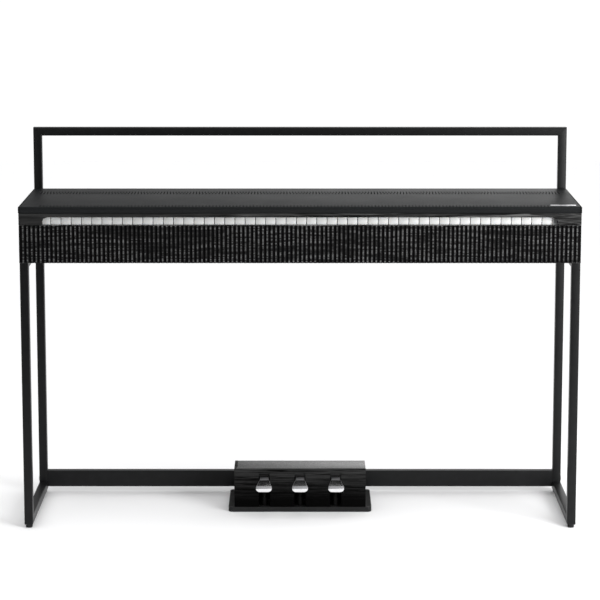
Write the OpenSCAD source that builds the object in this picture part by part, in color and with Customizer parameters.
// Digital piano on a square-tube stand.
// Frame: +X to the player's right, -Y towards the player, +Z up.
// Origin: on the floor, at the middle of the outline.

/* [Overall] */
// Width over the lid, the widest piece
lid_w = 1291; // [1289:0.5:1293]
// Depth from the front of the reeded panel to the back of the stand
depth = 340; // [338:1:344]
// Height of the closed top surface
top_z = 760; // [760:0.5:761]
// Height of the upper frame's bar
bar_top = 908; // [880:1:940]

/* [Stand] */
// Side of the square tube
tube = 20; // [20:0.5:20.5]
// Wall of the tube
wall = 1.5; // [1:0.1:2]
// Height of a levelling foot's pad
foot_h = 8; // [8:0.1:8.5]
// Top of the rail that carries the case
rail_top = 636; // [635:0.5:636]
// Lower edge of the rear stretcher
stretcher_z = 16; // [14:1:20]
// Height of the rear stretcher
stretcher_h = 40; // [36:1:44]

/* [Top and front] */
// Thickness of the lid over its edge
lid_t = 15; // [15:0.5:15.5]
// Distance of the fold from the lid's front edge
fold_d = 235; // [234:0.5:236]
// Half width of the key slot in the fascia
slot_hw = 591; // [585:1:595]
// Radius of the slot's upper corners
slot_r = 12; // [6:1:14]
// Pitch of the reeds
reed_pitch = 10; // [8:1:12]

/* [Keys] */
// Pitch of the white keys
key_pitch = 23.5; // [23.4:0.05:23.5]
// Offset of the keyboard's middle from the case's middle
key_shift = -8.6; // [-9:0.1:-8]
// Gap between two white keys
key_gap = 1; // [0.8:0.1:1.2]
// Height of the white keys' top
key_top = 735; // [734.5:0.5:735]
// Front of the white keys
key_front = -152; // [-152:0.5:-150]

/* [Pedals] */
// Distance between two pedals
pedal_pitch = 85.4; // [84:0.2:87]
// Reach of the pedals in front of the box
pedal_reach = 80; // [76:1:84]
// Width of the pedal box
pbox_w = 315; // [312:1:320]
// Width of the slots in the pedal box
slot_w = 26.7; // [25:0.1:29]

/* [Hidden] */
$fn = 48;

// Outline
yf = -depth / 2;
yr = depth / 2;
lid_hw = lid_w / 2;
xo = lid_hw - 1;
xi = xo - tube;
xc = xo - tube / 2;
leg_y = yf + 6;
bar_bot = bar_top - tube;
rail_bot = rail_top - tube;
// Case boards
side_t = 15;
case_in = xo - side_t;
case_bot = rail_top;
case_rear = yr - tube;
rear_in = case_rear - 12;
board_f = yf + 16;
lid_bot = top_z - lid_t;
fold_y = yf + fold_d;
panel_top = 716.5;
fascia_bot = 717.3;
bolt_y = 110;
// Keyboard
kb_x0 = key_shift - 26 * key_pitch;
kb_x1 = key_shift + 26 * key_pitch;
pivot_y = 75;
pivot_z = 726;
rod_r = 2;
stick_w = 10;
stick_rear = 88;
black_w = 11;
// Positions in one octave, from its left edge: white tails then black centres
oct = 7 * key_pitch;
ce = 3 * key_pitch / 5;
fb = 4 * key_pitch / 7;
white_tail = [for (i = [0:2]) (2 * i + 0.5) * ce, for (i = [0:3]) 3 * key_pitch + (2 * i + 0.5) * fb];
black_mid = [for (i = [0:1]) (2 * i + 1.5) * ce, for (i = [0:2]) 3 * key_pitch + (2 * i + 1.5) * fb];
// Index in black_mid of the black key on the left and on the right of each white key, -1 for none
left_black = [-1, 0, 1, -1, 2, 3, 4];
right_black = [0, 1, -1, 2, 3, 4, -1];
// Left edge of octave n, so that the lowest key is the A of octave 0
function oct_x(n) = kb_x0 + (2 + 7 * (n - 1)) * key_pitch;
// Sockets
jx0 = 180;
jx1 = 340;
jack_x = [210, 240, 270];
jack_z = 690;
usb_x = 305;
// Pedal unit
pb_f = -24;
pb_r = 140;
pb_t = 12;
box_f = -23;
box_r = 57;
box_top = 106;
pw = 8;
axle_y = 35;
axle_z = 78;
ped_top = 83;
ped_t = 5;
tip_y = box_f - pedal_reach;

module bx(x0, x1, y0, y1, z0, z1) {
    translate([x0, y0, z0]) cube([x1 - x0, y1 - y0, z1 - z0]);
}
// Profile in Y and Z, run along X
module run_x(x0, x1) {
    translate([x0, 0, 0]) rotate([90, 0, 90]) linear_extrude(x1 - x0) children();
}
// Profile in X and Z, run along Y
module run_y(y0, y1) {
    translate([0, y1, 0]) rotate([90, 0, 0]) linear_extrude(y1 - y0) children();
}
module cyl_x(x0, x1, y, z, r) {
    translate([x0, y, z]) rotate([0, 90, 0]) cylinder(h = x1 - x0, r = r);
}
module cyl_y(y0, y1, x, z, r) {
    translate([x, y0, z]) rotate([-90, 0, 0]) cylinder(h = y1 - y0, r = r);
}
module cyl_z(z0, z1, x, y, r) {
    translate([x, y, z0]) cylinder(h = z1 - z0, r = r);
}
// Flat plate with rounded corners
module plate(x0, x1, y0, y1, z0, z1, r) {
    translate([0, 0, z0]) linear_extrude(z1 - z0) union() {
        translate([x0 + r, y0]) square([x1 - x0 - 2 * r, y1 - y0]);
        translate([x0, y0 + r]) square([x1 - x0, y1 - y0 - 2 * r]);
        for (x = [x0 + r, x1 - r], y = [y0 + r, y1 - r]) translate([x, y]) circle(r = r);
    }
}

// ---- Stand ----
module side_frame() {
    difference() {
        union() {
            bx(xi, xo, leg_y, yr, foot_h, rail_top);
            bx(xi, xo, yr - tube, yr, rail_top - 1, bar_top);
        }
        bx(xi - 1, xo + 1, leg_y + tube, yr - tube, foot_h + tube, rail_bot);
        difference() {
            bx(xi + wall, xo - wall, leg_y + wall, yr - wall, foot_h + wall, rail_top - wall);
            bx(xi, xo, leg_y + tube - wall, yr - tube + wall, foot_h + tube - wall, rail_bot + wall);
        }
        bx(xi + wall, xo - wall, yr - tube + wall, yr - wall, rail_bot + 5, bar_top + 1);
        run_y(yr - tube - 1, yr + 1) polygon([[xi - 2, bar_bot - 2], [xo + 2, bar_top + 2], [xi - 2, bar_top + 2]]);
        for (y = [leg_y + tube / 2, yr - tube / 2]) cyl_z(foot_h - 1, foot_h + wall + 1, xc, y, 4.1);
        for (y = [-bolt_y, bolt_y]) cyl_z(rail_bot - 1, rail_top + 1, xc, y, 3.3);
        cyl_x(xi - 1, xi + wall + 1, yr - tube / 2, stretcher_z + stretcher_h / 2, 3.3);
        cyl_x(xo - wall - 1, xo + 1, yr - tube / 2, stretcher_z + stretcher_h / 2, 6.5);
    }
}
module side_frame_right() { color([0.13, 0.13, 0.14]) side_frame(); }
module side_frame_left() { color([0.13, 0.13, 0.14]) mirror([1, 0, 0]) side_frame(); }
module top_bar() {
    color([0.13, 0.13, 0.14]) difference() {
        run_y(yr - tube, yr) polygon([[-xo, bar_top], [xo, bar_top], [xi, bar_bot], [-xi, bar_bot]]);
        bx(-xo + wall, xo - wall, yr - tube + wall, yr - wall, bar_bot + wall, bar_top - wall);
    }
}
module rear_stretcher() {
    color([0.13, 0.13, 0.14]) difference() {
        bx(-xi, xi, yr - tube, yr, stretcher_z, stretcher_z + stretcher_h);
        bx(-xi + 3, xi - 3, yr - tube + wall, yr - wall, stretcher_z + wall, stretcher_z + stretcher_h - wall);
        cyl_x(-xi - 1, xi + 1, yr - tube / 2, stretcher_z + stretcher_h / 2, 3.3);
    }
}
module frame_bolts() {
    bz = stretcher_z + stretcher_h / 2;
    color([0.3, 0.3, 0.31]) for (s = [0, 1]) mirror([s, 0, 0]) {
        difference() {
            union() {
                cyl_x(xi + wall, xi + wall + 5, yr - tube / 2, bz, 5);
                cyl_x(xi - 15, xi + wall + 1, yr - tube / 2, bz, 3);
            }
            translate([xi + wall + 2, yr - tube / 2, bz]) rotate([0, 90, 0]) cylinder(h = 4, r = 2.9, $fn = 6);
        }
        for (y = [-bolt_y, bolt_y]) difference() {
            union() {
                cyl_z(rail_bot - 3, rail_bot, xc, y, 6);
                cyl_z(rail_bot - 1, case_bot + 22, xc, y, 3);
            }
            translate([xc, y, rail_bot - 4]) cylinder(h = 3, r = 2.9, $fn = 6);
        }
    }
}
module foot(x, y) {
    color([0.08, 0.08, 0.08]) {
        translate([x, y, 0]) cylinder(h = 1, r1 = 7, r2 = 7.8);
        cyl_z(1, foot_h - 2.5, x, y, 7.8);
        translate([x, y, foot_h - 2.5]) cylinder(h = 2.5, r = 7.5, $fn = 6);
        cyl_z(foot_h - 1, foot_h + 18, x, y, 4);
    }
}
module foot_front_left() { foot(-xc, leg_y + tube / 2); }
module foot_front_right() { foot(xc, leg_y + tube / 2); }
module foot_rear_left() { foot(-xc, yr - tube / 2); }
module foot_rear_right() { foot(xc, yr - tube / 2); }

// ---- Case ----
module bottom_board() {
    color([0.16, 0.15, 0.15]) difference() {
        bx(-case_in, case_in, board_f, rear_in, case_bot, case_bot + 12);
        for (x = [-430, 430]) cyl_z(case_bot - 1, case_bot + 13, x, -20, 38);
    }
}
module side_panel() {
    difference() {
        run_x(case_in, xo) polygon([[board_f, case_bot], [case_rear, case_bot], [case_rear, lid_bot],
            [fold_y + 1, lid_bot], [fold_y + 1, lid_bot - 1.6], [board_f, lid_bot - 1.6]]);
        for (y = [-bolt_y, bolt_y]) cyl_z(case_bot - 1, case_bot + 24, xc, y, 3.3);
    }
}
module side_panel_right() { color([0.12, 0.12, 0.12]) side_panel(); }
module side_panel_left() { color([0.12, 0.12, 0.12]) mirror([1, 0, 0]) side_panel(); }
module rear_panel() {
    color([0.15, 0.15, 0.15]) {
        bx(-case_in, jx0, rear_in, case_rear, case_bot, lid_bot);
        bx(jx1, case_in, rear_in, case_rear, case_bot, lid_bot);
    }
}
module front_board() { color([0.12, 0.12, 0.12]) bx(-xo, xo, board_f - 10, board_f, case_bot, panel_top); }
// One row of half-round reeds in front of a thin back
module reeded_panel() {
    n = floor(2 * xo / reed_pitch);
    x0 = -n * reed_pitch / 2;
    back = yf + 6;
    root = yf + 3;
    reed = [for (i = [0:n - 1]) let (c = x0 + (i + 0.5) * reed_pitch) each
        [for (k = [0:6]) [c - (reed_pitch / 2 - 0.6) * cos(180 * k / 6), root - 3 * sin(180 * k / 6)]]];
    color([0.1, 0.1, 0.1]) translate([0, 0, case_bot - 7]) linear_extrude(panel_top - case_bot + 7)
        polygon(concat([[-xo, back], [-xo, root]], reed, [[xo, root], [xo, back]]));
}
module rear_top_strip() { color([0.25, 0.25, 0.26]) bx(-lid_hw, lid_hw, fold_y + 1, case_rear, lid_bot, top_z); }

// ---- Lid ----
module lid_board() { color([0.45, 0.4, 0.35]) bx(-xo, xo, yf + 1, fold_y - 0.5, lid_bot + 3, top_z - 1); }
module lid_battens() {
    color([0.3, 0.28, 0.25]) {
        bx(-xo, xo, yf + 1, yf + 13, lid_bot, lid_bot + 3);
        bx(-case_in, case_in, fold_y - 15, fold_y - 0.5, lid_bot, lid_bot + 3);
        for (s = [0, 1]) mirror([s, 0, 0]) bx(case_in + 0.5, xo, yf + 14, fold_y - 0.5, lid_bot, lid_bot + 3);
    }
}
badge_x = 604.5;
badge_y = yf + 24;
module badge_shape(z0, z1, g = 0) {
    plate(badge_x - 29.5 - g, badge_x + 29.5 + g, badge_y - 7 - g, badge_y + 7 + g, z0, z1, 3 + g);
}
module lid_cover() {
    color([0.25, 0.25, 0.26]) difference() {
        bx(-lid_hw, lid_hw, yf, fold_y - 0.5, lid_bot, top_z);
        bx(-xo, xo, yf + 1, fold_y, lid_bot - 1, top_z - 1);
        badge_shape(top_z - 0.5, top_z + 1, 0.1);
    }
}
module lid_badge() { color([0.7, 0.7, 0.72]) badge_shape(top_z - 0.5, top_z); }
// A rail over the key slot, and an end block with a rounded corner glued under each end of it
module lid_fascia() {
    y0 = yf + 0.5;
    y1 = yf + 12.5;
    sz = key_top + 0.2;
    color([0.1, 0.1, 0.1]) {
        difference() {
            bx(-xo, xo, y0, y1, sz, lid_bot);
            bx(-xo - 1, xo + 1, y0 - 1, y0 + 4, lid_bot - 0.8, lid_bot + 1);
        }
        for (s = [0, 1]) mirror([s, 0, 0]) difference() {
            bx(slot_hw - slot_r + 3, xo, y0, y1, fascia_bot, sz - 0.05);
            bx(slot_hw - slot_r, slot_hw, y0 - 1, y1 + 1, fascia_bot - 1, sz - slot_r);
            cyl_y(y0 - 1, y1 + 1, slot_hw - slot_r, sz - slot_r, slot_r);
        }
    }
}
module lid_fold() { color([0.2, 0.2, 0.2]) bx(-lid_hw, lid_hw, fold_y - 0.2, fold_y + 1, top_z - 1, top_z); }
module lid_bumpers() {
    color([0.05, 0.05, 0.05]) for (x = [-xo + 7.5, xo - 7.5], y = [-120, 30])
        cyl_z(lid_bot - 1.6, lid_bot, x, y, 5);
}

// ---- Keybed ----
module key_frame() {
    color([0.35, 0.35, 0.37]) {
        difference() {
            bx(kb_x0 + 0.5, kb_x1, -134, -112, case_bot + 12, 714);
            bx(kb_x0 + 2.5, kb_x1 - 2, -132, -114, case_bot + 11, 712);
        }
        difference() {
            union() {
                bx(kb_x0 + 0.5, kb_x1, 66, 92, case_bot + 12, 714);
                for (n = [1:8]) bx(oct_x(n) - 0.75, oct_x(n) + 1.05, 68, 82, 713, 731);
            }
            bx(kb_x0 + 2.5, kb_x1 - 2, 68, 90, case_bot + 11, 712);
            cyl_x(kb_x0 - 1, kb_x1 + 1, pivot_y, pivot_z, rod_r + 0.05);
        }
        for (x = [-560, -240, 0, 240, 560]) {
            bx(x - 10, x + 10, -112.5, 66.5, case_bot + 12, case_bot + 15);
            cyl_z(case_bot + 14, 704, x, 30, 4);
        }
    }
}
module key_felts() {
    color([0.45, 0.08, 0.08]) {
        bx(kb_x0 + 0.5, kb_x1 - 0.5, -131, -115, 714, 717.6);
        difference() {
            bx(kb_x0 + 0.5, kb_x1 - 0.5, 83, 91, 714, 718.8);
        }
    }
}
module key_pivot_rod() { color([0.7, 0.7, 0.72]) cyl_x(kb_x0 - 0.4, kb_x1 + 0.6, pivot_y, pivot_z, rod_r); }
module contact_board() { color([0.08, 0.3, 0.15]) bx(kb_x0 + 2, kb_x1 - 2, 10, 50, 704, 705.6); }
// X of each key's stick, lowest first
stick_x = [for (n = [0:8], i = [0:11])
    let (w = [0, -1, 1, -1, 2, 3, -1, 4, -1, 5, -1, 6][i], b = [-1, 0, -1, 1, -1, -1, 2, -1, 3, -1, 4, -1][i])
    if ((n > 0 || i > 8) && (n < 8 || i == 0)) oct_x(n) + (w >= 0 ? white_tail[w] : black_mid[b])];
module contact_domes() {
    color([0.6, 0.6, 0.58]) {
        bx(kb_x0 + 3, kb_x1 - 3, 22, 38, 705.6, 706.6);
        for (x = stick_x) translate([x, 30, 706]) cylinder(h = 10.4, r1 = 4.5, r2 = 3, $fn = 24);
    }
}
module white_key(n, i, last_left = false, last_right = false) {
    x0 = oct_x(n) + i * key_pitch;
    g = key_gap / 2;
    side = black_w / 2 + 1.25;
    l = left_black[i] < 0 || last_left ? x0 + g : oct_x(n) + black_mid[left_black[i]] + side;
    r = right_black[i] < 0 || last_right ? x0 + key_pitch - g : oct_x(n) + black_mid[right_black[i]] - side;
    t = oct_x(n) + white_tail[i];
    color([0.93, 0.93, 0.9]) difference() {
        union() {
            translate([0, 0, key_top - 8]) linear_extrude(8) polygon([[x0 + g, key_front], [x0 + key_pitch - g, key_front],
                [x0 + key_pitch - g, -104], [r, -104], [r, -2], [l, -2], [l, -104], [x0 + g, -104]]);
            bx(x0 + g, x0 + key_pitch - g, key_front, key_front + 3, key_top - 21, key_top - 1);
            bx(t - stick_w / 2, t + stick_w / 2, -12, stick_rear, key_top - 16, key_top - 2);
        }
        cyl_x(t - stick_w, t + stick_w, pivot_y, pivot_z, rod_r + 0.06);
    }
}
module black_key(n, i) {
    t = oct_x(n) + black_mid[i];
    h = key_top + 11;
    color([0.05, 0.05, 0.05]) difference() {
        union() {
            intersection() {
                run_x(t - black_w / 2, t + black_w / 2)
                    polygon([[-102, key_top - 8], [-97, h], [-7, h], [-7, key_top - 8]]);
                run_y(-103, -6) polygon([[t - black_w / 2, key_top - 9], [t + black_w / 2, key_top - 9],
                    [t + black_w / 2 - 0.9, h], [t - black_w / 2 + 0.9, h]]);
            }
            bx(t - stick_w / 2, t + stick_w / 2, -12, stick_rear, key_top - 16, key_top - 2);
        }
        cyl_x(t - stick_w, t + stick_w, pivot_y, pivot_z, rod_r + 0.06);
    }
}
module white_keys_bass() {
    white_key(0, 5, last_left = true);
    white_key(0, 6);
    for (n = [1:3], i = [0:6]) white_key(n, i);
}
module black_keys_bass() {
    black_key(0, 4);
    for (n = [1:3], i = [0:4]) black_key(n, i);
}
module white_keys_treble() {
    for (n = [5:7], i = [0:6]) white_key(n, i);
    white_key(8, 0, last_right = true);
}
module black_keys_treble() { for (n = [5:7], i = [0:4]) black_key(n, i); }
module key_c4() { white_key(4, 0); }
module key_d4() { white_key(4, 1); }
module key_e4() { white_key(4, 2); }
module key_f4() { white_key(4, 3); }
module key_g4() { white_key(4, 4); }
module key_a4() { white_key(4, 5); }
module key_b4() { white_key(4, 6); }
module key_c4_sharp() { black_key(4, 0); }
module key_d4_sharp() { black_key(4, 1); }
module key_f4_sharp() { black_key(4, 2); }
module key_g4_sharp() { black_key(4, 3); }
module key_a4_sharp() { black_key(4, 4); }

// ---- Controls ----
knob_x = 573;
power_x = 595;
ctl_y = 30;
ctl_z = key_top + 0.5;
module cheek_blocks() {
    color([0.1, 0.1, 0.1]) {
        bx(-case_in, kb_x0 - 0.8, key_front + 2, fold_y - 1, case_bot + 12, ctl_z);
        bx(kb_x1 + 1.1, case_in, key_front + 2, fold_y - 1, case_bot + 12, ctl_z);
    }
}
module control_panel() {
    color([0.1, 0.1, 0.1]) difference() {
        // The upstand behind the fold closes the slit under the fixed rear top
        union() {
            bx(-case_in, case_in, 0, fold_y + 6, ctl_z, ctl_z + 4);
            bx(-case_in, case_in, fold_y + 3, fold_y + 6, ctl_z + 3, lid_bot - 0.3);
        }
        cyl_z(ctl_z - 1, ctl_z + 5, knob_x, ctl_y, 3.1);
        cyl_z(ctl_z - 1, ctl_z + 5, power_x, ctl_y, 4.8);
    }
}
module volume_knob() {
    color([0.15, 0.15, 0.15]) difference() {
        union() {
            cyl_z(ctl_z + 4.5, ctl_z + 10.5, knob_x, ctl_y, 8);
            cyl_z(ctl_z + 0.3, ctl_z + 5, knob_x, ctl_y, 3);
        }
        bx(knob_x - 0.6, knob_x + 0.6, ctl_y - 8.5, ctl_y - 3, ctl_z + 9.9, ctl_z + 11);
    }
}
module power_button() { color([0.4, 0.4, 0.42]) cyl_z(ctl_z + 0.5, ctl_z + 6, power_x, ctl_y, 4.5); }

// ---- Electronics ----
module main_board() {
    color([0.08, 0.3, 0.15]) {
        bx(190, 330, 98, 128, 655, 656.6);
        for (x = [195, 325], y = [102, 124]) cyl_z(case_bot + 12, 655, x, y, 2.5);
        bx(230, 256, 104, 124, 656.6, 659);
        bx(275, 295, 104, 120, 656.6, 660);
        for (x = [205, 215]) cyl_z(656.6, 668, x, 113, 4);
    }
}
module speakers() {
    for (x = [-430, 430]) translate([x, -20, 0]) {
        color([0.12, 0.12, 0.12]) difference() {
            union() {
                translate([0, 0, case_bot + 12]) cylinder(h = 2, r = 46);
                translate([0, 0, case_bot + 13]) cylinder(h = 20, r1 = 40, r2 = 22);
                translate([0, 0, case_bot + 32]) cylinder(h = 16, r = 24);
            }
            translate([0, 0, case_bot + 11]) cylinder(h = 18, r1 = 37, r2 = 14);
        }
        color([0.1, 0.1, 0.1]) difference() {
            translate([0, 0, case_bot]) cylinder(h = 1.5, r = 37.6);
            for (i = [-4:4]) bx(-sqrt(34 * 34 - 49 * i * i), sqrt(34 * 34 - 49 * i * i),
                7 * i - 2, 7 * i + 2, case_bot - 1, case_bot + 3);
        }
    }
}
module jack_panel() {
    color([0.1, 0.1, 0.1]) difference() {
        union() {
            bx(jx0, jx1, rear_in, case_rear, case_bot, lid_bot);
            for (x = jack_x) cyl_y(rear_in - 8, rear_in + 1, x, jack_z, 6);
            bx(usb_x - 9, usb_x + 9, rear_in - 4, rear_in + 1, jack_z - 9, jack_z + 9);
        }
        for (i = [0, 1]) cyl_y(case_rear - 16, case_rear + 1, jack_x[i], jack_z, 3.2);
        cyl_y(case_rear - 10, case_rear + 1, jack_x[2], jack_z, 2.9);
        bx(usb_x - 6.1, usb_x + 6.1, case_rear - 9, case_rear + 1, jack_z - 5.5, jack_z + 5.5);
    }
}

// ---- Pedal unit ----
module pedal_base() { color([0.2, 0.2, 0.2]) plate(-171.5, 171.5, pb_f, pb_r, 0, pb_t, 10); }
module pedal_box() {
    h = pbox_w / 2;
    color([0.12, 0.12, 0.12]) difference() {
        bx(-h, h, box_f, box_r, pb_t, box_top);
        bx(-h + pw, h - pw, box_f + pw, box_r - pw, pb_t - 1, box_top - pw);
        for (i = [-1:1]) {
            bx(i * pedal_pitch - slot_w / 2, i * pedal_pitch + slot_w / 2, box_f - 1, box_f + pw + 1, pb_t - 1, ped_top + 3);
            bx(i * pedal_pitch - slot_w / 2, i * pedal_pitch + slot_w / 2, box_f - 1, box_f + 3, ped_top + 2, box_top - pw - 1);
        }
        for (s = [0, 1]) mirror([s, 0, 0]) cyl_x(h - pw - 1, h - 3, axle_y, axle_z, 4.05);
    }
}
module pedal_axle() { color([0.7, 0.7, 0.72]) cyl_x(-pbox_w / 2 + 3.5, pbox_w / 2 - 3.5, axle_y, axle_z, 4); }
module pedal(i) {
    r = 10;
    // Side outline: flat top, rounded nose, lip turned down
    side = concat([[axle_y, ped_top], [tip_y + r, ped_top]],
        [for (a = [10:10:90]) [tip_y + r - r * sin(a), ped_top - r + r * cos(a)]],
        [[tip_y, ped_top - 13], [tip_y + ped_t, ped_top - 13]],
        [for (a = [90:-15:0]) [tip_y + r - (r - ped_t) * sin(a), ped_top - r + (r - ped_t) * cos(a)]],
        [[axle_y, ped_top - ped_t]]);
    // Plan outline: narrow arm in the slot, then a toe plate that widens to the front
    half = [[10.4, axle_y], [10.4, -36], [11.6, -40], [18.6, tip_y + 6], [18.8, tip_y + 3], [18, tip_y + 1], [16.5, tip_y]];
    plan = concat(half, [for (k = [len(half) - 1:-1:0]) [-half[k][0], half[k][1]]]);
    // Front outline: the lip narrows downwards
    lip = [[18.8, 1], [18.8, -5], [17.6, -7], [15, -10.5], [12.6, -12.6], [10.5, -13.5]];
    face = concat(lip, [for (k = [len(lip) - 1:-1:0]) [-lip[k][0], lip[k][1]]]);
    color([0.8, 0.8, 0.82]) translate([i * pedal_pitch, 0, 0]) difference() {
        union() {
            intersection() {
                run_x(-25, 25) polygon(side);
                translate([0, 0, ped_top - 20]) linear_extrude(30) polygon(plan);
                translate([0, 0, ped_top]) run_y(tip_y - 5, axle_y + 5) polygon(face);
            }
            // Raised back of the arm, sloping down to the toe plate
            run_x(-10.2, 10.2) polygon([[axle_y - 9, ped_top - 1], [-39.5, ped_top - 1], [-39.5, ped_top], [-35, ped_top + 1.6], [axle_y - 9, ped_top + 1.6]]);
            cyl_x(-12, 12, axle_y, axle_z, 7.5);
        }
        cyl_x(-26, 26, axle_y, axle_z, 4.06);
    }
}
module pedal_left() { pedal(-1); }
module pedal_center() { pedal(0); }
module pedal_right() { pedal(1); }
// Leaf springs, from the base up to the underside of each pedal arm
module pedal_springs() {
    function mid(u) = [10 + 32 * cos(90 * u) * (1 - 0.35 * u), pb_t + 0.6 + 61 * sin(90 * u)];
    line = [for (k = [0:12]) mid(k / 12)];
    prof = concat([for (p = line) [p[0] - 0.6, p[1]]], [for (k = [12:-1:0]) [line[k][0] + 0.6, line[k][1] + (k == 12 ? 0.6 : 0)]]);
    color([0.6, 0.6, 0.62]) for (i = [-1:1]) translate([i * pedal_pitch, 0, 0]) {
        run_x(-6, 6) polygon(prof);
        bx(-6, 6, 24, 43, pb_t, pb_t + 1.2);
    }
}
module pedal_bumpers() {
    color([0.2, 0.2, 0.2]) for (i = [-1:1]) {
        cyl_z(pb_t, 32, i * pedal_pitch, -5, 6);
        cyl_z(31, 72.5, i * pedal_pitch, -5, 4);
    }
}
module pedal_brackets() {
    color([0.13, 0.13, 0.14]) for (x = [-120, 120]) difference() {
        union() {
            bx(x - 15, x + 15, 100, yr - tube, pb_t, pb_t + 3);
            bx(x - 15, x + 15, yr - tube - 3, yr - tube, pb_t, 50);
        }
        cyl_z(pb_t - 1, pb_t + 4, x, 115, 2.5);
    }
}

side_frame_left();
side_frame_right();
top_bar();
rear_stretcher();
frame_bolts();
foot_front_left();
foot_front_right();
foot_rear_left();
foot_rear_right();
bottom_board();
side_panel_left();
side_panel_right();
rear_panel();
front_board();
reeded_panel();
rear_top_strip();
lid_board();
lid_battens();
lid_cover();
lid_fascia();
lid_badge();
lid_fold();
lid_bumpers();
key_frame();
key_felts();
key_pivot_rod();
contact_board();
contact_domes();
cheek_blocks();
control_panel();
power_button();
volume_knob();
main_board();
speakers();
jack_panel();
white_keys_bass();
black_keys_bass();
white_keys_treble();
black_keys_treble();
key_c4();
key_c4_sharp();
key_d4();
key_d4_sharp();
key_e4();
key_f4();
key_f4_sharp();
key_g4();
key_g4_sharp();
key_a4();
key_a4_sharp();
key_b4();
pedal_base();
pedal_box();
pedal_left();
pedal_center();
pedal_right();
pedal_axle();
pedal_springs();
pedal_bumpers();
pedal_brackets();
